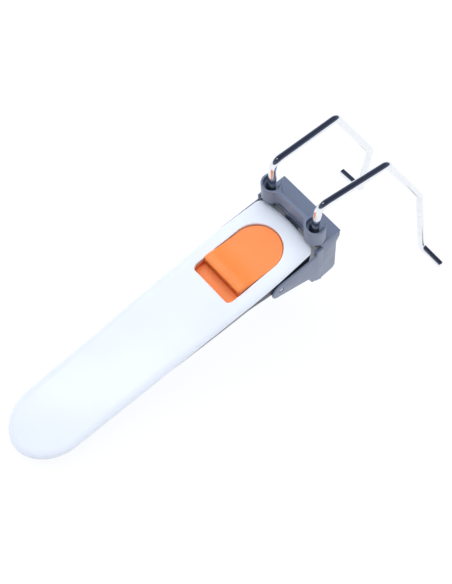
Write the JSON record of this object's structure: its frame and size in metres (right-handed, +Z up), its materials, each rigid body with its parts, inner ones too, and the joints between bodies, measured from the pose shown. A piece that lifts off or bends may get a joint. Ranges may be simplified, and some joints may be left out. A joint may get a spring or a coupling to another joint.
{
  "type": "folding grip handle with wire hook arms",
  "caption": "Folding white grip with an orange thumb latch, hinged in a grey bracket that carries bent chrome wire arms ending in outward hook pins.",
  "frame": {"origin": "middle of the object's box, on the plane that it rests on", "axes": "+Z up, +Y from the free end of the grip towards the wire hooks, +X across the grip to the right; the grip slopes up towards the bracket by about 21 degrees"},
  "size_m": [0.0806, 0.2658, 0.1077],
  "materials": {
    "white_plastic": "glossy moulded ABS, white",
    "orange_plastic": "satin moulded plastic, orange",
    "grey_plastic": "satin moulded nylon, mid grey",
    "nylon": "natural nylon",
    "chrome": "bright chrome-plated steel wire",
    "steel": "zinc-plated steel"
  },
  "bodies": {
    "bracket": {"bracket_body": "grey_plastic", "bracket_cap": "grey_plastic", "cap_screw_left": "steel", "cap_screw_right": "steel", "wire_arm_left": "chrome", "wire_arm_right": "chrome"},
    "grip": {"handle_top_shell": "white_plastic", "handle_bottom_shell": "grey_plastic", "pivot_bush_left": "nylon", "pivot_bush_right": "nylon", "pivot_pin_left": "steel", "pivot_pin_right": "steel", "slide_rail_left": "nylon", "slide_rail_right": "nylon", "rail_screw_front_left": "steel", "rail_screw_front_right": "steel", "rail_screw_rear_left": "steel", "rail_screw_rear_right": "steel", "spring_guide_pin": "steel", "return_spring": "steel", "shell_screw_rear": "steel", "shell_screw_middle": "steel", "shell_screw_front_left": "steel", "shell_screw_front_right": "steel"},
    "latch": {"thumb_slider": "orange_plastic", "latch_bolt": "steel", "bolt_screw_front": "steel", "bolt_screw_rear": "steel"}
  },
  "joints": [
    {"name": "grip_fold", "type": "hinge", "parent": "bracket", "child": "grip", "pos_m": [0, 0.00276, 0.05141], "axis": [-1, 0, 0], "range_deg": [0, 110]},
    {"name": "latch_slide", "type": "slide", "parent": "grip", "child": "latch", "axis": [0, -0.9321, -0.3622], "range_m": [0, 0.0055], "stiffness_N_per_m": 450, "springref_m": -0.004, "deforming": ["return_spring"]}
  ]
}
